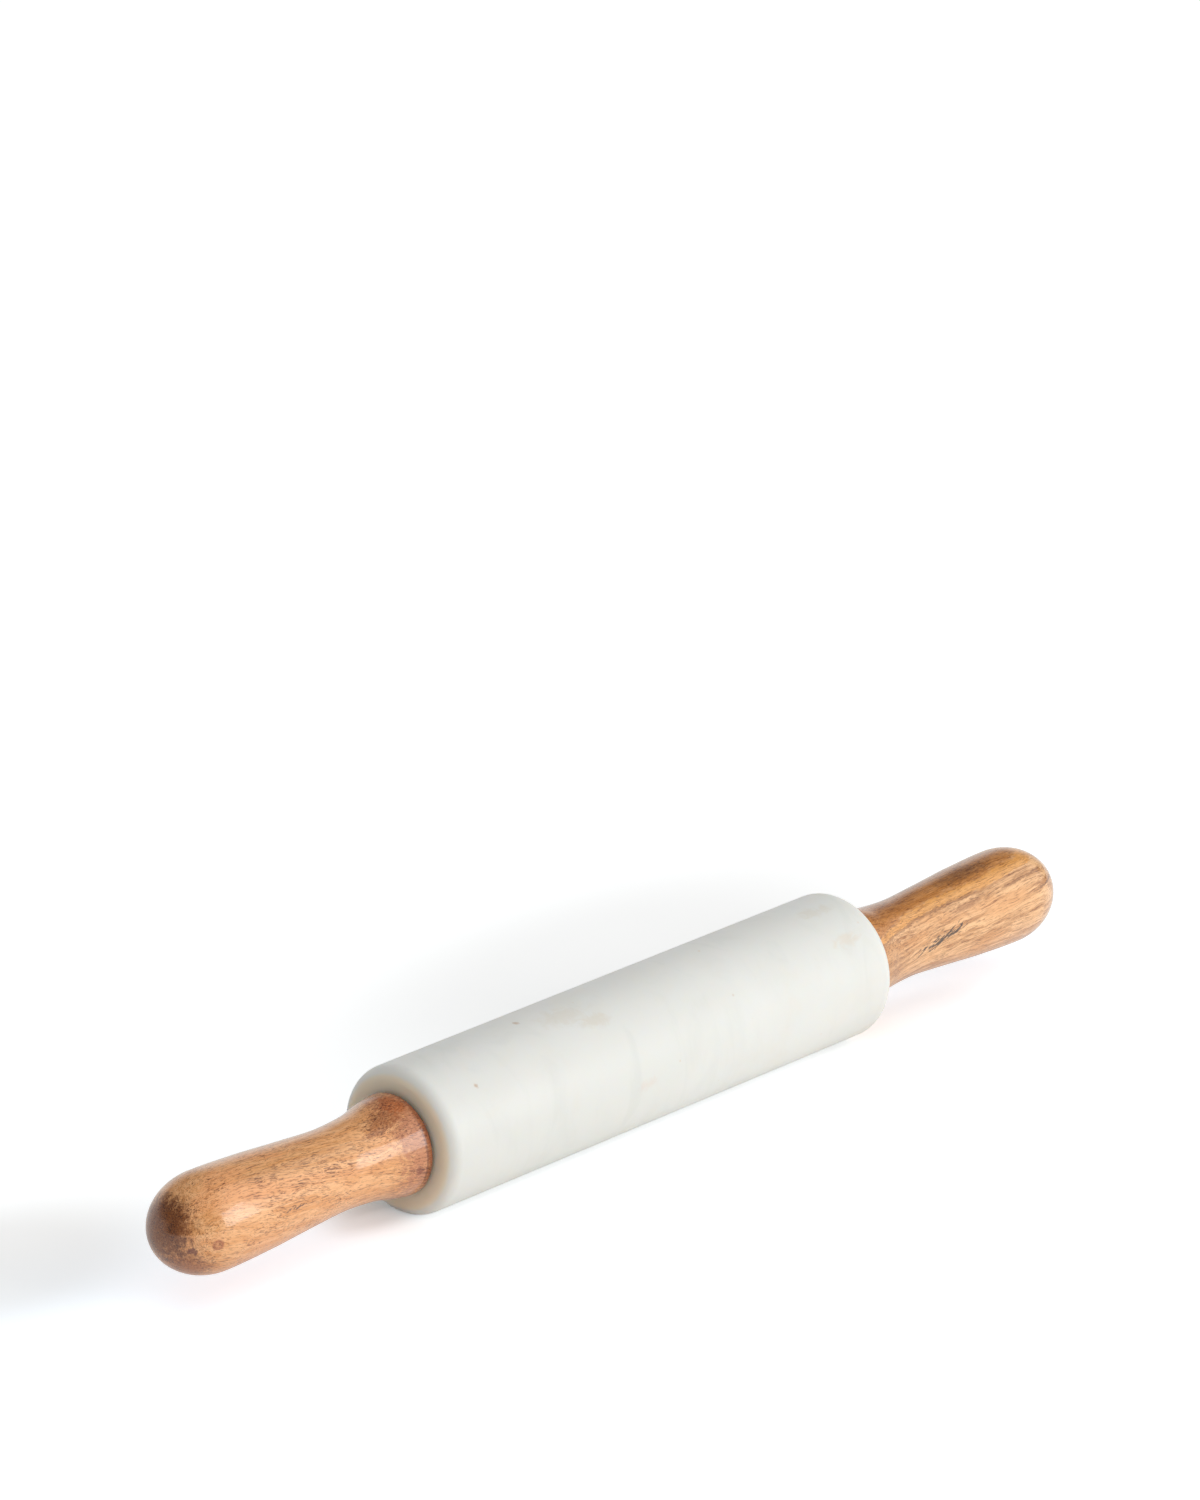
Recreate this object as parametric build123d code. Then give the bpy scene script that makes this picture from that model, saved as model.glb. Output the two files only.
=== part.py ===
from build123d import *

import os

os.makedirs("parts", exist_ok=True)

# A marble rolling pin lies along X on its barrel, which rests on Z = 0. The barrel turns
# on a steel axle rod between two turned wooden handles. Lengths are in millimetres.

# Marble barrel, drilled through, with a shallow recess in each end face
barrel_diameter = 57.0
barrel_length = 245.0
barrel_edge_radius = 5.5
recess_chamfer = 0.5

# Steel axle rod: a plain journal between two shoulders, then a threaded stud at each end
thread_diameter = 8.0
thread_pitch = 1.25
thread_depth = 0.7
shoulder_height = 1.0
journal_chamfer = 0.3
stud_setback = 2.0
stud_chamfer = 0.8

# Flanged nylon bushings, glued into the ends of the bore
bushing_length = 16.0
bushing_wall = 2.85
bushing_flange_width = 3.9
bushing_flange_thickness = 1.8
bushing_chamfer = 0.4

# Steel thrust washers, clamped between the rod's shoulders and the handles
washer_margin = 1.8
washer_thickness = 1.0
washer_chamfer = 0.2

# Brass inserts, pressed into the handles, with barbs outside and a thread inside
insert_length = 20.0
insert_wall = 1.5
insert_head_width = 1.0
insert_head_thickness = 1.0
barb_height = 0.45
barb_pitch = 3.0

# Turned wooden handles: a collar by the barrel, a neck, and a swelling, domed grip
handle_length = 120.0
collar_diameter = 39.0
collar_edge_radius = 1.5
neck_diameter = 31.4
grip_diameter = 37.8
tip_length = 24.0
chip_space = 6.0
pilot_point_length = 3.4

# Places on the handle's outline. Each pair is a share of the handle's length and a share
# of the rise from the neck's radius: to the collar's in flare, to the grip's in swell.
flare_shares = ((0.076, 0.73), (0.141, 0.29), (0.222, 0.055))
neck_place_share = 0.30
swell_shares = ((0.416, 0.25), (0.513, 0.50), (0.61, 0.75))

# One turn of the thread: shares of the pitch and of the depth
thread_turn_shares = ((0, 0), (0.125, 0), (0.4375, 1), (0.6875, 1))
# One barb: shares of its pitch and of its height
barb_shares = ((0, 0), (0.15, 1))

# Radial clearances
running_clearance = 0.05
glue_clearance = 0.1
thread_clearance = 0.05
insert_clearance = 0.03
washer_hole_clearance = 0.2

# Clearances along the axis: at each thrust washer, and between each collar and the marble
end_play = 0.2
handle_gap = 0.5

# How far a cutting solid runs past the face that it opens
cut_overrun = 1.0

# Radii, from the thread outwards
thread_radius = thread_diameter / 2
journal_radius = thread_radius + shoulder_height
bushing_bore_radius = journal_radius + running_clearance
sleeve_radius = bushing_bore_radius + bushing_wall
barrel_bore_radius = sleeve_radius + glue_clearance
flange_radius = sleeve_radius + bushing_flange_width
recess_radius = flange_radius + glue_clearance
washer_radius = flange_radius - washer_margin
insert_root_radius = thread_radius + thread_clearance + insert_wall
insert_head_radius = insert_root_radius + barb_height + insert_head_width

# Places along the axis, counted outwards from the barrel's end face. The handle's inner
# face lies handle_gap out, and everything on the rod is stacked against it.
shoulder_place = handle_gap - washer_thickness
flange_face_place = shoulder_place - end_play
flange_back_place = flange_face_place - bushing_flange_thickness
insert_end_place = handle_gap + insert_length

axle_height = barrel_diameter / 2
half_barrel = barrel_length / 2


def turned(outline):
    """A solid of revolution about X from points of place along the axis and radius."""
    return revolve(make_face(Polyline(*outline, close=True)), Axis.X)


def thread_points(length, growth):
    """The thread's outline, ring by ring, from the handle's inner face outwards."""
    crest = thread_radius + growth
    points = []
    for turn in range(int(length / thread_pitch)):
        for place_share, depth_share in thread_turn_shares:
            place = handle_gap + (turn + place_share) * thread_pitch
            points.append((place, crest - depth_share * thread_depth))
    return points


def marble_barrel():
    """The barrel between its end faces, with its bore and the recesses for the bushings."""
    blank = turned(
        [
            (-half_barrel, 0),
            (half_barrel, 0),
            (half_barrel, barrel_diameter / 2),
            (-half_barrel, barrel_diameter / 2),
        ]
    )
    blank = fillet(blank.edges().filter_by(GeomType.CIRCLE), barrel_edge_radius)
    mouth = half_barrel + cut_overrun
    recess_floor = half_barrel + flange_back_place
    bore = turned(
        [
            (-mouth, 0),
            (mouth, 0),
            (mouth, barrel_bore_radius),
            (-mouth, barrel_bore_radius),
        ]
    )
    recess = turned(
        [
            (recess_floor, 0),
            (mouth, 0),
            (mouth, recess_radius + recess_chamfer + cut_overrun),
            (half_barrel - recess_chamfer, recess_radius),
            (recess_floor, recess_radius),
        ]
    )
    return blank - bore - recess - Rot(0, 0, 180) * recess


def stud():
    """One threaded end of the rod, in place past the barrel's right end face."""
    thread = thread_points(insert_length - stud_setback, 0)
    last_place = thread[-1][0] + stud_chamfer
    return turned(
        [
            (shoulder_place, 0),
            (shoulder_place, thread_radius),
            *thread,
            (last_place, thread[-1][1] - stud_chamfer),
            (last_place, 0),
        ]
    )


def axle_rod():
    """The rod from stud to stud. Its shoulders set the end play of the barrel."""
    half_journal = half_barrel + shoulder_place
    journal = turned(
        [
            (-half_journal, 0),
            (-half_journal, journal_radius - journal_chamfer),
            (-half_journal + journal_chamfer, journal_radius),
            (half_journal - journal_chamfer, journal_radius),
            (half_journal, journal_radius - journal_chamfer),
            (half_journal, 0),
        ]
    )
    right_stud = Pos(half_barrel, 0, 0) * stud()
    return journal + right_stud + Rot(0, 0, 180) * right_stud


def bushing():
    """A flanged sleeve whose bore carries the rod and whose flange takes the thrust."""
    sleeve_end = flange_back_place - bushing_length
    return turned(
        [
            (sleeve_end, bushing_bore_radius + bushing_chamfer),
            (sleeve_end + bushing_chamfer, bushing_bore_radius),
            (flange_face_place - bushing_chamfer, bushing_bore_radius),
            (flange_face_place, bushing_bore_radius + bushing_chamfer),
            (flange_face_place, flange_radius - bushing_chamfer),
            (flange_face_place - bushing_chamfer, flange_radius),
            (flange_back_place, flange_radius),
            (flange_back_place, sleeve_radius),
            (sleeve_end + bushing_chamfer, sleeve_radius),
            (sleeve_end, sleeve_radius - bushing_chamfer),
        ]
    )


def thrust_washer():
    """A flat ring against the rod's shoulder, facing the bushing's flange."""
    hole_radius = thread_radius + washer_hole_clearance
    return turned(
        [
            (shoulder_place, hole_radius),
            (handle_gap, hole_radius),
            (handle_gap, washer_radius - washer_chamfer),
            (handle_gap - washer_chamfer, washer_radius),
            (shoulder_place + washer_chamfer, washer_radius),
            (shoulder_place, washer_radius - washer_chamfer),
        ]
    )


def insert_points(growth):
    """The insert's outside, from the rim of its head to the deep end of its last barb."""
    root = insert_root_radius + growth
    head_back = handle_gap + insert_head_thickness
    points = [
        (handle_gap, insert_head_radius + growth),
        (head_back, insert_head_radius + growth),
    ]
    for barb in range(int((insert_length - insert_head_thickness) / barb_pitch)):
        for place_share, height_share in barb_shares:
            place = head_back + (barb + place_share) * barb_pitch
            points.append((place, root + height_share * barb_height))
    return points + [(insert_end_place, root)]


def threaded_insert():
    """The barbed insert that the stud screws into, flush with the handle's inner face."""
    body = turned([(handle_gap, 0), *insert_points(0), (insert_end_place, 0)])
    thread = thread_points(insert_length + cut_overrun, thread_clearance)
    through = insert_end_place + cut_overrun
    tapped_hole = turned(
        [
            (handle_gap - cut_overrun, 0),
            (handle_gap - cut_overrun, thread[0][1]),
            *thread,
            (through, thread[-1][1]),
            (through, 0),
        ]
    )
    return body - tapped_hole


def handle_blank():
    """The handle as turned: rounded collar, flare, neck, swelling grip and domed tip."""
    collar_radius = collar_diameter / 2
    neck_radius = neck_diameter / 2
    grip_radius = grip_diameter / 2
    dome_place = handle_length - tip_length

    def along(shares, far_radius):
        return [
            (place * handle_length, neck_radius + rise * (far_radius - neck_radius))
            for place, rise in shares
        ]

    face = Line((0, 0), (0, collar_radius - collar_edge_radius))
    edge = JernArc(face @ 1, (0, 1), collar_edge_radius, -90)
    side = Spline(
        edge @ 1,
        *along(flare_shares, collar_radius),
        (neck_place_share * handle_length, neck_radius),
        *along(swell_shares, grip_radius),
        (dome_place, grip_radius),
        tangents=((1, 0), (1, 0)),
    )
    dome = EllipticalCenterArc((dome_place, 0), tip_length, grip_radius, arc_size=90)
    axis = Line((handle_length, 0), (0, 0))
    return Pos(handle_gap, 0, 0) * revolve(make_face([face, edge, side, dome, axis]), Axis.X)


def handle():
    """The turned handle with the blind hole that the insert is pressed into."""
    pocket = insert_points(insert_clearance)
    pilot_end = insert_end_place + chip_space
    hole = turned(
        [
            (handle_gap - cut_overrun, 0),
            (handle_gap - cut_overrun, pocket[0][1]),
            *pocket,
            (pilot_end, pocket[-1][1]),
            (pilot_end + pilot_point_length, 0),
        ]
    )
    return handle_blank() - hole


nodes = {"marble_barrel": marble_barrel(), "axle_rod": axle_rod()}
end_pieces = {
    "bushing": bushing(),
    "thrust_washer": thrust_washer(),
    "insert": threaded_insert(),
    "handle": handle(),
}
for side, turn in (("left", 180), ("right", 0)):
    for name, piece in end_pieces.items():
        nodes[f"{side}_{name}"] = Rot(0, 0, turn) * Pos(half_barrel, 0, 0) * piece

for name, piece in nodes.items():
    export_step(Pos(0, 0, axle_height) * piece, f"parts/{name}.step")
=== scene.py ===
import math

import bmesh
import bpy
from mathutils import Euler, Matrix, Vector


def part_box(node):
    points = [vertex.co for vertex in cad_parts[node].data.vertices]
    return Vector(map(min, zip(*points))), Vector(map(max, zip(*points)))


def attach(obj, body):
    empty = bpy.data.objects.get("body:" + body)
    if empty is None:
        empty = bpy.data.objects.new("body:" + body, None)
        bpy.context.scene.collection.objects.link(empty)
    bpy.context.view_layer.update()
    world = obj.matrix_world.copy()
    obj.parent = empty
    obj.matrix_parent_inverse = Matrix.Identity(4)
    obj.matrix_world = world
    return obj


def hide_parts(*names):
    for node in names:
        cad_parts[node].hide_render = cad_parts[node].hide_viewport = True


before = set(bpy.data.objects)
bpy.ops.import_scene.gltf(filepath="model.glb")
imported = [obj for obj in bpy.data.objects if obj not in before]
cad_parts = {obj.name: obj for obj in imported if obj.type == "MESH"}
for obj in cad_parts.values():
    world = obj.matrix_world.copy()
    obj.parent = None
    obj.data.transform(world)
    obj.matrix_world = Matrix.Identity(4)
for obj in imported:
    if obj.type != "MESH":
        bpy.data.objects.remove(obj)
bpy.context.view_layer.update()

# The marble barrel. White marble with faint warm and grey clouds, core-drilled along its
# axis, ground round and honed to a soft sheen. Its end edges are rounded over, and each
# end face has a shallow recess for the bushing that is glued into the bore.
barrel_low, barrel_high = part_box("marble_barrel")
axle_height = (barrel_low.z + barrel_high.z) / 2
hair = 0.000001  # keeps a rounded number from passing the box of the solids
barrel_radius = (barrel_high.z - barrel_low.z) / 2 - hair
half_barrel = barrel_high.x
barrel_sides = 224
barrel_edge_radius = 0.0055
barrel_edge_steps = 12
bushing_low, bushing_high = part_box("right_bushing")
glue_film = 0.0001
recess_radius = (bushing_high.z - bushing_low.z) / 2 + glue_film
recess_depth = 0.0025
recess_chamfer = 0.0005
recess_chamfer_steps = 3
bore_radius = 0.008
crease_angle = math.radians(35)


def finish_turning(name):
    """Leaves edit mode with the faces outwards, smooth but for its hard corners, and named."""
    bpy.ops.mesh.select_all(action="SELECT")
    bpy.ops.mesh.normals_make_consistent(inside=False)
    bpy.ops.object.mode_set(mode="OBJECT")
    bpy.ops.object.shade_smooth_by_angle(angle=crease_angle)
    piece = bpy.context.object
    piece.name = name
    piece.data.name = name
    return piece


def pick(kind, test):
    """Selects those verts, edges or faces of the piece being edited that pass a test."""
    mode = {"verts": "VERT", "edges": "EDGE", "faces": "FACE"}[kind]
    bpy.ops.mesh.select_mode(type=mode)
    bpy.ops.mesh.select_all(action="DESELECT")
    mesh = bmesh.from_edit_mesh(bpy.context.object.data)
    for element in getattr(mesh, kind):
        element.select_set(test(element))
    mesh.select_flush_mode()
    bmesh.update_edit_mesh(bpy.context.object.data)


def extrude(distance):
    """Extrudes what is selected along the pin."""
    bpy.ops.mesh.extrude_region_move(TRANSFORM_OT_translate={"value": (distance, 0, 0)})


def off_axis(point):
    """How far a point lies from the pin's axis."""
    return math.hypot(point.y, point.z - axle_height)


def on_rim(place, radius):
    """A test for the edges of the circles of that radius at plus and minus that place."""
    slack = 0.0002

    def test(edge):
        start, end = (vertex.co for vertex in edge.verts)
        return (
            abs(start.x - end.x) < slack
            and abs(abs(start.x) - place) < slack
            and abs(off_axis(start) - radius) < slack
            and abs(off_axis(end) - radius) < slack
        )

    return test


def is_end_disc(face):
    """Whether a face is the whole disc at an end of the barrel, and not a strip round it."""
    return abs(face.normal.x) > 0.9 and len(face.verts) > 4


bpy.ops.object.select_all(action="DESELECT")
bpy.ops.mesh.primitive_cylinder_add(
    vertices=barrel_sides,
    radius=barrel_radius,
    depth=2 * half_barrel,
    end_fill_type="NGON",
    location=(0, 0, axle_height),
    rotation=(0, math.pi / 2, 0),
)
bpy.ops.object.transform_apply(location=True, rotation=True, scale=True)
bpy.ops.object.mode_set(mode="EDIT")
pick("faces", is_end_disc)
bpy.ops.mesh.inset(thickness=barrel_radius - recess_radius)
for end in (-1, 1):
    pick("faces", lambda face: is_end_disc(face) and face.normal.x * end > 0)
    extrude(-end * recess_depth)
pick("faces", is_end_disc)
bpy.ops.mesh.inset(thickness=recess_radius - bore_radius)
bpy.ops.mesh.delete(type="ONLY_FACE")
pick("edges", on_rim(half_barrel - recess_depth, bore_radius))
bpy.ops.mesh.bridge_edge_loops()
pick("edges", on_rim(half_barrel, barrel_radius))
bpy.ops.mesh.bevel(offset=barrel_edge_radius, segments=barrel_edge_steps, affect="EDGES")
pick("edges", on_rim(half_barrel, recess_radius))
bpy.ops.mesh.bevel(offset=recess_chamfer, segments=recess_chamfer_steps, affect="EDGES")
barrel = finish_turning("stone_barrel")


class Wire:
    """A socket of a material's nodes, so that shader maths reads as plain expressions."""

    def __init__(self, tree, socket=None):
        self.tree = tree
        self.socket = socket

    def node(self, kind, settings=None, inputs=None, output=0):
        """Adds a node of any kind, sets it up, feeds it and wraps one of its outputs."""
        made = self.tree.nodes.new(kind)
        for name, value in (settings or {}).items():
            setattr(made, name, value)
        for name, value in (inputs or {}).items():
            if isinstance(value, Wire):
                self.tree.links.new(value.socket, made.inputs[name])
            else:
                made.inputs[name].default_value = value
        return Wire(self.tree, made.outputs[output])

    def feeds(self, shader, name):
        """Links this wire to a socket of a shader."""
        self.tree.links.new(self.socket, shader.inputs[name])

    def maths(self, operation, *terms):
        """Arithmetic on one or two numbers or wires."""
        settings = {"operation": operation}
        return self.node("ShaderNodeMath", settings, dict(enumerate(terms)))

    def __add__(self, other):
        return self.maths("ADD", self, other)

    def __radd__(self, other):
        return self.maths("ADD", other, self)

    def __sub__(self, other):
        return self.maths("SUBTRACT", self, other)

    def __rsub__(self, other):
        return self.maths("SUBTRACT", other, self)

    def __mul__(self, other):
        return self.maths("MULTIPLY", self, other)

    def __rmul__(self, other):
        return self.maths("MULTIPLY", other, self)

    def __abs__(self):
        return self.maths("ABSOLUTE", self)

    def step(self, low, high):
        """Rises smoothly from 0 at low to 1 at high, or falls where low is above high."""
        inputs = {"Value": self, "From Min": low, "From Max": high}
        return self.node("ShaderNodeMapRange", {"interpolation_type": "SMOOTHSTEP"}, inputs)

    def moved(self, operation, other):
        """A vector worked on with another."""
        settings = {"operation": operation}
        return self.node("ShaderNodeVectorMath", settings, {0: self, 1: other})

    def stretched(self, along, across):
        """A vector scaled along X and across it, for patterns that run along the pin."""
        return self.moved("MULTIPLY", (along, across, across))

    def length(self):
        """How long a vector is."""
        return self.node("ShaderNodeVectorMath", {"operation": "LENGTH"}, {0: self}, "Value")

    def part(self, axis):
        """The x, y or z of a vector."""
        return self.node("ShaderNodeSeparateXYZ", inputs={0: self}, output="XYZ".index(axis))

    def noise(self, scale, detail=2.0, roughness=0.5, distortion=0.0, output=0):
        """Noise from 0 to 1 at this vector, with about scale bumps to its unit. Output 1
        is three such noises as a colour."""
        inputs = {
            "Vector": self,
            "Scale": scale,
            "Detail": detail,
            "Roughness": roughness,
            "Distortion": distortion,
        }
        return self.node("ShaderNodeTexNoise", {"noise_dimensions": "3D"}, inputs, output)

    def blend(self, first, second, share):
        """One colour mixed towards another by a share."""
        inputs = {0: share}
        for slot, colour in ((6, first), (7, second)):
            inputs[slot] = colour if isinstance(colour, Wire) else (*colour, 1)
        return self.node("ShaderNodeMix", {"data_type": "RGBA"}, inputs, output=2)

    def tinted(self, colour, share):
        """This colour, mixed towards another by a share."""
        return self.blend(self, colour, share)

    def dimmed(self, colour, share):
        """This colour, multiplied by another by a share, as by a film of stain."""
        settings = {"data_type": "RGBA", "blend_type": "MULTIPLY"}
        return self.node("ShaderNodeMix", settings, {0: share, 6: self, 7: (*colour, 1)}, output=2)

    def bump(self, depth, strength=1.0):
        """Normals that follow this wire as a height, by a depth in metres."""
        inputs = {"Height": self, "Distance": depth, "Strength": strength}
        return self.node("ShaderNodeBump", inputs=inputs)


def new_finish(name):
    """A material with an empty principled surface: the material, its shader and a wire."""
    material = bpy.data.materials.new(name)
    material.use_nodes = True
    tree = material.node_tree
    shader = tree.nodes["Principled BSDF"]
    return material, shader, Wire(tree)


def in_millimetres(wire, centre=(0, 0, 0), turn=(0, 0, 0)):
    """The piece's own coordinates in millimetres from a centre, turned for a pattern."""
    place = wire.node("ShaderNodeTexCoord", output="Object")
    rotation = Euler([math.radians(angle) for angle in turn])
    inputs = {
        "Vector": place,
        "Location": -(rotation.to_matrix() @ Vector(centre)),
        "Rotation": rotation,
        "Scale": (1000, 1000, 1000),
    }
    return wire.node("ShaderNodeMapping", {"vector_type": "POINT"}, inputs)


def dress(piece, material):
    """Puts one material all over a piece."""
    piece.data.materials.clear()
    piece.data.materials.append(material)
    for face in piece.data.polygons:
        face.material_index = 0


def honed_marble(marks):
    """White marble: warm and grey clouds, a few tan specks, sugar-fine crystals, listed marks, and
    a warm tan tint on the flat end faces."""
    material, shader, wire = new_finish("honed_marble")
    place = in_millimetres(wire)
    drift = place.noise(0.02, detail=3)
    clouds = place.noise(0.028, detail=4, roughness=0.55, distortion=0.8)
    wisps = place.moved("MULTIPLY", (0.075, 0.05, 0.018)).noise(1.0, detail=5, distortion=1.5)
    veils = place.noise(0.16, detail=5, roughness=0.65, distortion=1.0)
    crystals = place.noise(1.6, detail=3, roughness=0.7)

    milk, cream = (0.786, 0.793, 0.758), (0.772, 0.740, 0.665)
    colour = wire.blend(milk, cream, clouds.step(0.50, 0.80) * 0.60)
    colour = colour.tinted((0.700, 0.716, 0.682), wisps.step(0.50, 0.75) * 0.40)
    colour = colour.tinted((0.840, 0.842, 0.820), drift.step(0.42, 0.68) * 0.35)
    for centre, reach, tone, strength in marks:
        away = in_millimetres(wire, centre).moved("DIVIDE", reach)
        mark = (away.length() + 2.4 * (veils - 0.5)).step(1.0, 0.2)
        colour = colour.tinted(tone, mark * strength)
    speck_reach = wire.node("ShaderNodeTexVoronoi", inputs={"Vector": place, "Scale": 0.11})
    specks = speck_reach.step(0.085, 0.03) * place.noise(0.05, detail=1).step(0.50, 0.62)
    colour = colour.tinted((0.700, 0.490, 0.300), specks * 0.5)
    colour = colour.tinted((0.780, 0.785, 0.760), crystals.step(0.45, 0.75) * 0.25)
    # A warm tan tint on the flat end faces, fading out a millimetre in from them
    end_face = 1000 * half_barrel
    cut = abs(place.part("X")).step(end_face - 1.1, end_face - 0.1)
    colour = colour.tinted((0.850, 0.765, 0.610), cut * 0.90)
    colour.feeds(shader, "Base Color")

    (0.34 + 0.10 * clouds + 0.08 * crystals).feeds(shader, "Roughness")
    swell = place.noise(0.12, detail=2)
    (swell * 0.05 + crystals * 0.006).bump(0.001, strength=0.35).feeds(shader, "Normal")
    shader.inputs["IOR"].default_value = 1.5
    shader.inputs["Subsurface Weight"].default_value = 1.0
    shader.inputs["Subsurface Radius"].default_value = (1.0, 0.85, 0.70)
    shader.inputs["Subsurface Scale"].default_value = 0.007
    return material


# A mark is its centre and reach in millimetres, its tone and its strength. The first five
# are warm clouds, and the last three are small dark specks.
marble = honed_marble(
    marks=(
        ((-42, -7, 56), (15, 8, 5), (0.680, 0.600, 0.470), 0.26),
        ((-31.5, -14, 53.3), (9, 4, 5), (0.680, 0.580, 0.440), 0.30),
        ((103.5, -20, 48), (9, 3, 4), (0.740, 0.600, 0.450), 0.30),
        ((101, -6, 56.4), (10, 4, 4), (0.680, 0.610, 0.480), 0.30),
        ((-17.9, -28.5, 27.5), (8, 4, 3), (0.780, 0.620, 0.520), 0.28),
        ((-100.9, -19.3, 49.5), (1.2, 1.2, 1.2), (0.520, 0.320, 0.170), 0.60),
        ((-60, -1, 57), (1.5, 1.5, 1.5), (0.500, 0.330, 0.200), 0.55),
        ((35.5, -22.5, 46), (1.2, 1.2, 1.2), (0.620, 0.460, 0.330), 0.45),
    )
)
dress(barrel, marble)
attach(barrel, "barrel")
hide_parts("marble_barrel")

# The bushings. Two flanged sleeves of natural nylon, moulded, glued into the ends of the
# bore, with the flange sunk in the marble's recess. The rod turns in them.


def moulded_nylon():
    """Off-white nylon, matt, with a faint orange-peel skin and a few scuffs."""
    material, shader, wire = new_finish("moulded_nylon")
    place = in_millimetres(wire)
    skin = place.noise(2.5, detail=2)
    scuffs = place.stretched(4, 0.4).noise(1.0, detail=3)
    colour = wire.blend((0.82, 0.80, 0.74), (0.66, 0.63, 0.56), scuffs.step(0.5, 0.8) * 0.5)
    colour.feeds(shader, "Base Color")
    (0.42 + 0.18 * scuffs).feeds(shader, "Roughness")
    skin.bump(0.00005).feeds(shader, "Normal")
    return material


nylon = moulded_nylon()
for side in ("left", "right"):
    dress(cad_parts[side + "_bushing"], nylon)

# The axle rod and the thrust washers. Drawn steel bar, turned down and threaded at its
# ends, with a flat steel washer clamped against each shoulder by the handle.


def drawn_steel():
    """Bright steel with turning lines round the axis and a thin uneven film of oil."""
    material, shader, wire = new_finish("drawn_steel")
    place = in_millimetres(wire)
    turning = place.stretched(9, 0.2).noise(1.0, detail=4, roughness=0.6)
    film = place.noise(0.3, detail=3)
    colour = wire.blend((0.56, 0.57, 0.58), (0.40, 0.38, 0.35), film.step(0.45, 0.75) * 0.5)
    colour.feeds(shader, "Base Color")
    (0.20 + 0.20 * turning).feeds(shader, "Roughness")
    turning.bump(0.00003).feeds(shader, "Normal")
    shader.inputs["Metallic"].default_value = 1.0
    return material


steel = drawn_steel()
for node in ("axle_rod", "left_thrust_washer", "right_thrust_washer"):
    dress(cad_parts[node], steel)

# The inserts. Brass bar, turned with barbs outside and tapped inside, pressed with glue
# into each handle, flush with the face of its collar.


def turned_brass():
    """Yellow brass with fine tool marks and slight tarnish in its grooves."""
    material, shader, wire = new_finish("turned_brass")
    place = in_millimetres(wire)
    marks = place.stretched(12, 0.3).noise(1.0, detail=3)
    tarnish = place.noise(0.5, detail=4)
    colour = wire.blend((0.72, 0.50, 0.20), (0.42, 0.25, 0.10), tarnish.step(0.45, 0.8) * 0.6)
    colour.feeds(shader, "Base Color")
    (0.22 + 0.22 * marks).feeds(shader, "Roughness")
    marks.bump(0.00003).feeds(shader, "Normal")
    shader.inputs["Metallic"].default_value = 1.0
    return material


brass = turned_brass()
for side in ("left", "right"):
    dress(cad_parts[side + "_insert"], brass)

# The handles. Turned from one honey-brown hardwood board on a lathe, sanded and oiled to
# a semi-gloss: a collar by the marble, a slim neck, a swelling grip and a domed tip. The
# collar's face is bored for the insert.
handle_low, handle_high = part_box("right_handle")
handle_face = handle_low.x
handle_length = handle_high.x - handle_low.x - hair
collar_radius = (handle_high.z - handle_low.z) / 2
collar_edge_radius = 0.0015
neck_radius = 0.0157
grip_radius = 0.0189
tip_length = 0.024
insert_head_radius = 0.00703
insert_head_depth = 0.001
pilot_radius = 0.0056
pilot_depth = 0.026
pilot_point_depth = 0.0294
handle_sides = 160
collar_edge_steps = 6
dome_steps = 22
steps_between_places = 6
# Places on the outline: each pair is a share of the handle's length and a share of the
# rise from the neck's radius, to the collar's in flare and to the grip's in swell
flare_shares = ((0.076, 0.73), (0.141, 0.29), (0.222, 0.055))
neck_place_share = 0.30
swell_shares = ((0.416, 0.25), (0.513, 0.50), (0.61, 0.75))


def smooth_line(points, steps):
    """A smooth line through points of place and radius, level at its two ends."""
    slopes = [0]
    for before, after in zip(points, points[2:]):
        slopes.append((after[1] - before[1]) / (after[0] - before[0]))
    slopes.append(0)
    line = []
    for index, ((x0, r0), (x1, r1)) in enumerate(zip(points, points[1:])):
        span = x1 - x0
        for step in range(steps):
            t = step / steps
            rise = (2 * t**3 - 3 * t**2 + 1) * r0 + (3 * t**2 - 2 * t**3) * r1
            lean = (t**3 - 2 * t**2 + t) * slopes[index] + (t**3 - t**2) * slopes[index + 1]
            line.append((x0 + t * span, rise + lean * span))
    return line


def handle_rings():
    """The handle's outline as rings of place and radius, from its face to near the tip."""
    dome_place = handle_length - tip_length
    corners = [(collar_edge_radius, collar_radius)]
    for place, rise in flare_shares:
        radius = neck_radius + rise * (collar_radius - neck_radius)
        corners.append((place * handle_length, radius))
    corners.append((neck_place_share * handle_length, neck_radius))
    for place, rise in swell_shares:
        radius = neck_radius + rise * (grip_radius - neck_radius)
        corners.append((place * handle_length, radius))
    corners.append((dome_place, grip_radius))
    rings = []
    for step in range(collar_edge_steps):
        angle = math.pi / 2 * step / collar_edge_steps
        place = collar_edge_radius * (1 - math.cos(angle))
        rings.append((place, collar_radius - collar_edge_radius * (1 - math.sin(angle))))
    rings += smooth_line(corners, steps_between_places)
    for step in range(dome_steps):
        angle = math.pi / 2 * step / dome_steps
        rings.append((dome_place + tip_length * math.sin(angle), grip_radius * math.cos(angle)))
    return rings


def pull_ring(place, radius, last_place, last_radius):
    """Extrudes the selected ring to a new place and radius."""
    extrude(place - last_place)
    ratio = radius / last_radius
    centre = (handle_face + place, 0, axle_height)
    bpy.ops.transform.resize(value=(1, ratio, ratio), center_override=centre)


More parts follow.
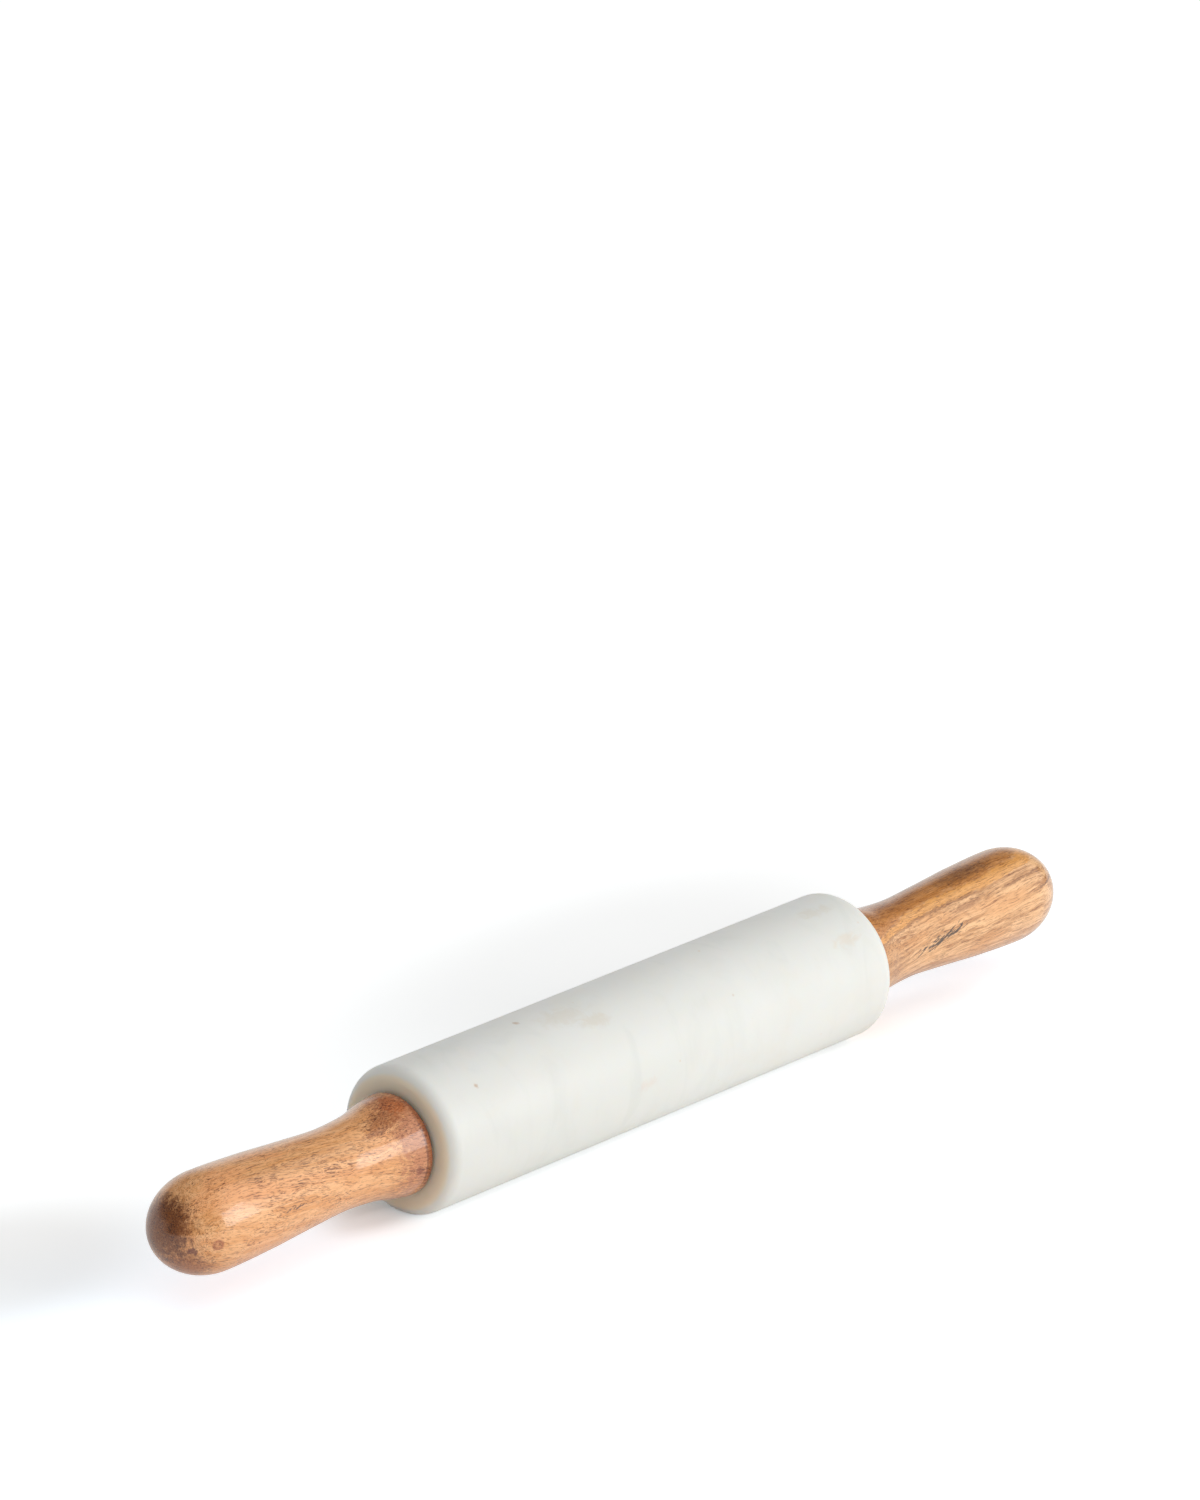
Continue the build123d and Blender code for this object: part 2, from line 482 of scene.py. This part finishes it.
def turn_handle(name):
    """One handle at the right end, turned ring by ring, with the hole for its insert."""
    rings = handle_rings()
    bpy.ops.object.select_all(action="DESELECT")
    bpy.ops.mesh.primitive_circle_add(
        vertices=handle_sides,
        radius=rings[0][1],
        fill_type="NOTHING",
        location=(handle_face, 0, axle_height),
        rotation=(0, math.pi / 2, 0),
    )
    bpy.ops.object.transform_apply(location=True, rotation=True, scale=True)
    bpy.ops.object.mode_set(mode="EDIT")
    bpy.ops.mesh.select_mode(type="EDGE")
    bpy.ops.mesh.select_all(action="SELECT")
    for last, ring in zip(rings, rings[1:]):
        pull_ring(*ring, *last)
    extrude(handle_length - rings[-1][0])
    bpy.ops.mesh.merge(type="CENTER")
    pocket = [
        rings[0],
        (0, insert_head_radius),
        (insert_head_depth, insert_head_radius),
        (insert_head_depth, pilot_radius),
        (pilot_depth, pilot_radius),
    ]
    pick("edges", on_rim(handle_face, rings[0][1]))
    for last, ring in zip(pocket, pocket[1:]):
        pull_ring(*ring, *last)
    extrude(pilot_point_depth - pilot_depth)
    bpy.ops.mesh.merge(type="CENTER")
    return finish_turning(name)


def oiled_hardwood(name, board, sway, tones, marking, stains_and_painted_shade, layers, shreds):
    """Wood as a solid pattern. The board's grain sways along the handle, in streaks, fibres and
    short dark pores. Stains, flat layers and torn dark shreds are listed one by one; some of the
    stains and layers are painted shade, in whole or in part."""
    material, shader, wire = new_finish(name)
    dark_tone, light_tone, warm_tone = tones
    fibre_share, pore_share, dash_share = marking
    still = in_millimetres(wire)
    place = in_millimetres(wire, *board)
    grain, drift = place, still
    # The grain sways slowly and wavers more quickly
    for along, across, swing in ((0.028, 0.045, sway), (0.10, 0.13, 1.8)):
        wander = place.stretched(along, across).noise(1.0, output=1)
        centred = wander.moved("SUBTRACT", (0.5, 0.5, 0.5))
        shift = centred.moved("MULTIPLY", (0, swing, swing))
        grain, drift = grain.moved("ADD", shift), drift.moved("ADD", shift)
    torn = still.noise(0.55, detail=4, roughness=0.6) - 0.5

    streaks = grain.stretched(0.012, 0.42).noise(1.0, detail=4, roughness=0.65)
    colour = wire.blend(dark_tone, light_tone, streaks.step(0.36, 0.60))
    blotches = place.stretched(0.030, 0.085).noise(1.0, detail=3)
    colour = colour.tinted(warm_tone, blotches.step(0.48, 0.66) * 0.60)
    # Pores stand closer together where crowd is high
    crowd = place.stretched(0.045, 0.15).noise(1.0, detail=2) - 0.5
    for height, slope, thickness, tone, strength, (start, end) in layers:
        at = still.part("X")
        level = drift.part("Z") - height - slope * at
        span = at.step(start - 4, start + 4) * at.step(end + 4, end - 4)
        layer = (abs(level) + 1.6 * torn).step(thickness, thickness * 0.75)
        colour = colour.tinted(tone, layer * span * strength)
    # Some stains are painted shade, as marked where they are listed
    for centre, turn, reach, tone, strength, (ragged, solid), specks in stains_and_painted_shade:
        away = in_millimetres(wire, centre, (0, turn, 0)).moved("DIVIDE", reach)
        stain = (away.length() + ragged * torn).step(1.0, solid)
        colour = colour.tinted(tone, stain * strength)
        if specks:
            crowd = crowd + specks * stain

    fibres = grain.stretched(0.13, 2.0).noise(1.0, detail=4, roughness=0.7)
    colour = colour.dimmed((0.44, 0.33, 0.24), fibres.step(0.52, 0.30) * fibre_share)
    colour = colour.tinted((1.000, 0.640, 0.330), fibres.step(0.54, 0.76) * 0.40)
    fine = grain.stretched(0.38, 3.0).noise(1.0, detail=2)
    coarse = grain.stretched(0.22, 2.0).noise(1.0, detail=2)
    pores = (fine + 0.30 * crowd).step(0.57, 0.70)
    dashes = (coarse + 0.45 * crowd).step(0.62, 0.74)
    colour = colour.dimmed((0.42, 0.30, 0.24), pores * pore_share)
    colour = colour.dimmed((0.34, 0.26, 0.22), dashes * dash_share)
    for centre, slope, reach, tone in shreds:
        within = in_millimetres(wire, centre, (0, slope, 0)).moved("DIVIDE", reach).length()
        slivers = in_millimetres(wire, centre, (0, slope + 9, 0)).stretched(0.30, 2.0)
        shred = (slivers.noise(1.0, detail=2) + 0.24 * (1 - within)).step(0.58, 0.65)
        colour = colour.tinted(tone, shred * 0.92)
    colour.feeds(shader, "Base Color")

    (0.34 + 0.14 * fibres + 0.25 * pores).feeds(shader, "Roughness")
    (fibres * 0.40 - pores * 0.7 - dashes * 0.7).bump(0.00006).feeds(shader, "Normal")
    shader.inputs["IOR"].default_value = 1.5
    shader.inputs["Coat Weight"].default_value = 1.0
    shader.inputs["Coat Roughness"].default_value = 0.10
    return material


right_handle = turn_handle("turned_handle_right")
bpy.ops.object.select_all(action="DESELECT")
right_handle.select_set(True)
bpy.ops.object.duplicate(linked=False)
left_handle = bpy.context.selected_objects[0]
left_handle.name = "turned_handle_left"
left_handle.data.name = "turned_handle_left"
left_handle.data.transform(Matrix.Rotation(math.pi, 4, "Z"))

# A stain is its centre, its turn about Y in degrees, its reach, tone and strength, how
# ragged its edge and how solid its middle are, and how much it crowds the pores. A layer
# is its height, slope, thickness, tone, strength and run along X. A shred is its centre,
# slope in degrees, reach and tone. Places and sizes are in millimetres. Stains and layers
# marked below as painted are shade painted into the wood's colour.
left_wood = oiled_hardwood(
    "hardwood_left",
    board=((40, 0, 30), (0, -9, 2)),
    sway=6.0,
    tones=((0.840, 0.370, 0.120), (1.000, 0.525, 0.230), (0.960, 0.425, 0.168)),
    marking=(0.95, 0.75, 0.85),
    stains_and_painted_shade=[
        ((-182, -10, 42), -4.5, (42, 9, 4.0), (0.640, 0.300, 0.090), 0.34, (0.8, 0.5), 0.03),
        ((-126, -4, 30), 0, (17, 26, 28), (0.600, 0.220, 0.092), 0.90, (1.0, 0.60), 0),
        ((-138.5, -7.5, 43.4), 19, (16, 7, 3.2), (0.420, 0.130, 0.035), 0.66, (1.6, 0.4), 0.10),
        ((-129, -4, 47), 0, (6, 7, 5), (0.640, 0.180, 0.045), 0.75, (1.8, 0.5), 0.04),
        # Partly the collar rim's dark wood, partly painted contact shade where it meets the marble
        ((-122, -7, 30), 0, (5.6, 29, 29), (0.370, 0.090, 0.018), 0.88, (0.5, 0.7), 0),
        ((-126.3, -16, 30), 0, (0.8, 14, 17), (0.260, 0.070, 0.020), 0.70, (0.7, 0.5), 0),
        # Painted shadow: a near-black line on the collar where the gap to the marble lies in shade
        ((-123, 0, 28.5), 0, (1.4, 40, 40), (0.060, 0.024, 0.012), 0.90, (0.2, 0.75), 0),
        ((-129.7, -18.5, 25), 0, (2.2, 3, 1.8), (0.300, 0.060, 0.020), 0.75, (1.0, 0.5), 0),
        ((-240, -8, 16), 0, (15, 17, 12), (0.360, 0.105, 0.026), 0.82, (1.0, 0.45), 0),
        ((-250, 2, 36), 0, (20, 24, 21), (0.230, 0.056, 0.002), 0.92, (0.7, 0.62), 0.12),
        ((-250, -14, 24), 0, (16, 15, 15), (0.200, 0.060, 0.016), 0.80, (0.8, 0.35), 0),
        ((-237.6, -11.5, 26), 0, (2.2, 3, 2.2), (0.200, 0.050, 0.025), 0.85, (2.2, 0.4), 0),
        ((-230, -16.7, 27.3), 0, (2.6, 3.5, 2.4), (0.420, 0.110, 0.040), 0.80, (0.5, 0.7), 0),
        ((-230, -16.7, 27.3), 0, (1.5, 3.0, 1.4), (0.760, 0.330, 0.130), 0.80, (0.5, 0.6), 0),
    ],
    layers=[],
    shreds=[((-190.5, -17.6, 29.9), 3, (6.5, 3.0, 0.9), (0.160, 0.065, 0.035))],
)
right_wood = oiled_hardwood(
    "hardwood_right",
    board=((-60, 20, 0), (0, 4, 0)),
    sway=2.0,
    tones=((0.540, 0.235, 0.075), (0.980, 0.575, 0.280), (0.830, 0.400, 0.145)),
    marking=(1.00, 0.50, 0.35),
    stains_and_painted_shade=[
        ((193.5, -13.5, 40.4), 4, (9, 4, 3), (0.560, 0.270, 0.100), 0.50, (1.6, 0.45), 0),
        ((182, -14, 38.4), 4, (11, 5, 1.6), (0.460, 0.200, 0.075), 0.70, (1.2, 0.4), 0.04),
        # Painted shade: the neck darker next to the marble
        ((132, -15, 28), 0, (15, 12, 14), (0.600, 0.290, 0.110), 0.50, (1.2, 0.4), 0),
        # The next two stains: partly dark heartwood, partly painted shade along the top of the
        # handle
        ((150, -3, 45), 4, (26, 9, 3.4), (0.400, 0.140, 0.026), 0.45, (1.6, 0.4), 0),
        ((193, -3, 47), 4, (24, 8, 3.2), (0.240, 0.085, 0.018), 0.66, (1.8, 0.3), 0.05),
    ],
    layers=[
        # Partly dark heartwood, partly painted shade: the dark band along the top of the handle
        (36.8, 0.07, 6.4, (0.620, 0.230, 0.034), 0.85, (110, 228)),
        (29.9, 0.07, 1.5, (0.940, 0.430, 0.090), 0.70, (110, 236)),
        (28.6, 0.07, 0.50, (0.360, 0.145, 0.045), 0.60, (120, 190)),
        (25.7, 0.07, 0.45, (0.360, 0.150, 0.050), 0.75, (205, 228)),
        (19.5, 0.07, 0.35, (0.240, 0.090, 0.030), 0.80, (222, 236)),
    ],
    shreds=[((165, -16.0, 30.0), 11, (16.0, 5.0, 1.9), (0.050, 0.028, 0.020))],
)
for piece, wood, node in (
    (left_handle, left_wood, "left_handle"),
    (right_handle, right_wood, "right_handle"),
):
    dress(piece, wood)
    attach(piece, "handles")
    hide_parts(node)

# The floor. A seamless sheet of white paper under the pin, which shows white to the
# camera and takes the pin's shadow. Painted soft shadows round the pin and a painted shade
# behind it weaken its glow, which is bluer by the handles, where the wood sends warm light
# down on it.
floor_size = 14.0
# A painted shadow is its centre and half size in millimetres, its depth, and the shares
# of its size at which it has faded out and at which it is full
painted_floor_shadows = (
    ((0, 24), (140, 28), 0.30, (1.15, 0.8)),
    ((-128, 6), (26, 14), 0.20, (1.2, 0.3)),
    ((148, -10), (50, 18), 0.10, (1.3, 0.5)),
    ((125, 120), (190, 85), 0.18, (1.2, 0.3)),
    ((-255, 75), (90, 60), 0.20, (1.1, 0.4)),
)


def ray_is(wire, kind):
    """1 where the ray that is traced is of a kind, such as Camera, and otherwise 0."""
    return wire.node("ShaderNodeLightPath", output="Is " + kind + " Ray")


def mirrored(wire):
    """1 for a ray that a shiny or clear surface sends on, and otherwise 0."""
    return wire.maths("MAXIMUM", ray_is(wire, "Glossy"), ray_is(wire, "Transmission"))


bpy.ops.object.select_all(action="DESELECT")
bpy.ops.mesh.primitive_plane_add(size=floor_size, location=(0, 0, 0))
floor = bpy.context.object
floor.name = "floor"
paper, paper_shader, paper_wire = new_finish("white_paper")
paper_shader.inputs["Base Color"].default_value = (0.96, 0.95, 0.93, 1)
paper_shader.inputs["Roughness"].default_value = 0.9
paper_shader.inputs["Specular IOR Level"].default_value = 0.0
seen = ray_is(paper_wire, "Camera") + 0.25 * mirrored(paper_wire)
flat = in_millimetres(paper_wire)
# The glow is a little weaker behind the pin: a painted shade
glow = 0.50 - 0.075 * flat.part("Y").step(-30, 60)
for (x, y), (along, across), depth, (faded, full) in painted_floor_shadows:
    away = in_millimetres(paper_wire, (x, y, 0)).moved("DIVIDE", (along, across, 1000))
    glow = glow - depth * away.length().step(faded, full)
(seen * glow).feeds(paper_shader, "Emission Strength")
by_wood = abs(flat.part("X")).step(115, 165) * abs(flat.part("Y")).step(90, 30)
tint = paper_wire.blend((0.94, 1.0, 1.05), (0.84, 1.0, 1.16), by_wood)
tint.feeds(paper_shader, "Emission Color")
dress(floor, paper)

# The light. One softbox to the right of the pin's front, in a pale studio that is brighter
# above, in front and to the right, and dim to the left. Shiny surfaces see a dim room
# instead, with a pale sheet behind the pin and a bright patch to the right of its front.
pin_centre = Vector((0, 0, axle_height))


def stand(name, data, azimuth, elevation, offset):
    """Stands a lamp or camera facing the pin. Azimuth runs from the front to the right, and
    the offset from the pin's centre is to the right, up and back, as it sees the pin."""
    thing = bpy.data.objects.new(name, data)
    bpy.context.scene.collection.objects.link(thing)
    thing.rotation_euler = (math.radians(90 - elevation), 0, math.radians(azimuth))
    thing.location = pin_centre + thing.rotation_euler.to_matrix() @ Vector(offset)
    return thing


softbox_distance = 1.3
softbox_data = bpy.data.lights.new("softbox", "AREA")
softbox_data.shape = "RECTANGLE"
softbox_data.size = 0.86
softbox_data.size_y = 0.72
softbox_data.energy = 6.2
stand("softbox", softbox_data, azimuth=20, elevation=18, offset=(0, 0, softbox_distance))

world = bpy.data.worlds.new("studio")
bpy.context.scene.world = world
world.use_nodes = True
sky = Wire(world.node_tree)
backdrop = world.node_tree.nodes["Background"]
view = sky.node("ShaderNodeTexCoord", output="Generated")


def towards(aim, low, high):
    """Rises from 0 to 1 as a direction turns towards an aim, between two cosines."""
    inputs = {0: view, 1: aim}
    cosine = sky.node("ShaderNodeVectorMath", {"operation": "DOT_PRODUCT"}, inputs, "Value")
    return cosine.step(low, high)


# What the studio sheds on the pin, with a little fill from the left of the front
dim = 0.55 * towards((-0.90, 0.33, 0.28), 0.40, 0.90)
fill = 0.20 * towards((-0.66, -0.74, 0.08), 0.68, 0.96)
evenly = 0.555 + 0.10 * view.part("X") - 0.10 * view.part("Y") + 0.26 * view.part("Z")
studio = evenly * (1 - dim) + fill
# What shiny surfaces see of it
sheet = view.part("Y").step(0.10, 0.60) * view.part("Z").step(0.55, 0.15)
shine = 0.04 + 0.80 * sheet + 0.90 * towards((0.70, -0.56, 0.44), 0.74, 0.94)
# The camera itself sees white
clear = ray_is(sky, "Camera")
bounced = mirrored(sky)
level = clear + bounced * shine + (1 - clear - bounced) * studio
level.feeds(backdrop, "Strength")
backdrop.inputs["Color"].default_value = (1, 1, 1, 1)

# The camera. It stands off to the left of the pin's front, a little above it, with a
# long lens, and the pin lies low in the frame.
view_distance = 2.8972
frame_shift_right = -0.00899
frame_shift_up = 0.11146
camera_data = bpy.data.cameras.new("camera")
camera_data.lens = 186.99
camera_data.sensor_width = 36
camera_data.clip_end = 100
bpy.context.scene.camera = stand(
    "camera",
    camera_data,
    azimuth=-47.68,
    elevation=19.57,
    offset=(frame_shift_right, frame_shift_up, view_distance),
)
bpy.context.scene.view_settings.view_transform = "Standard"
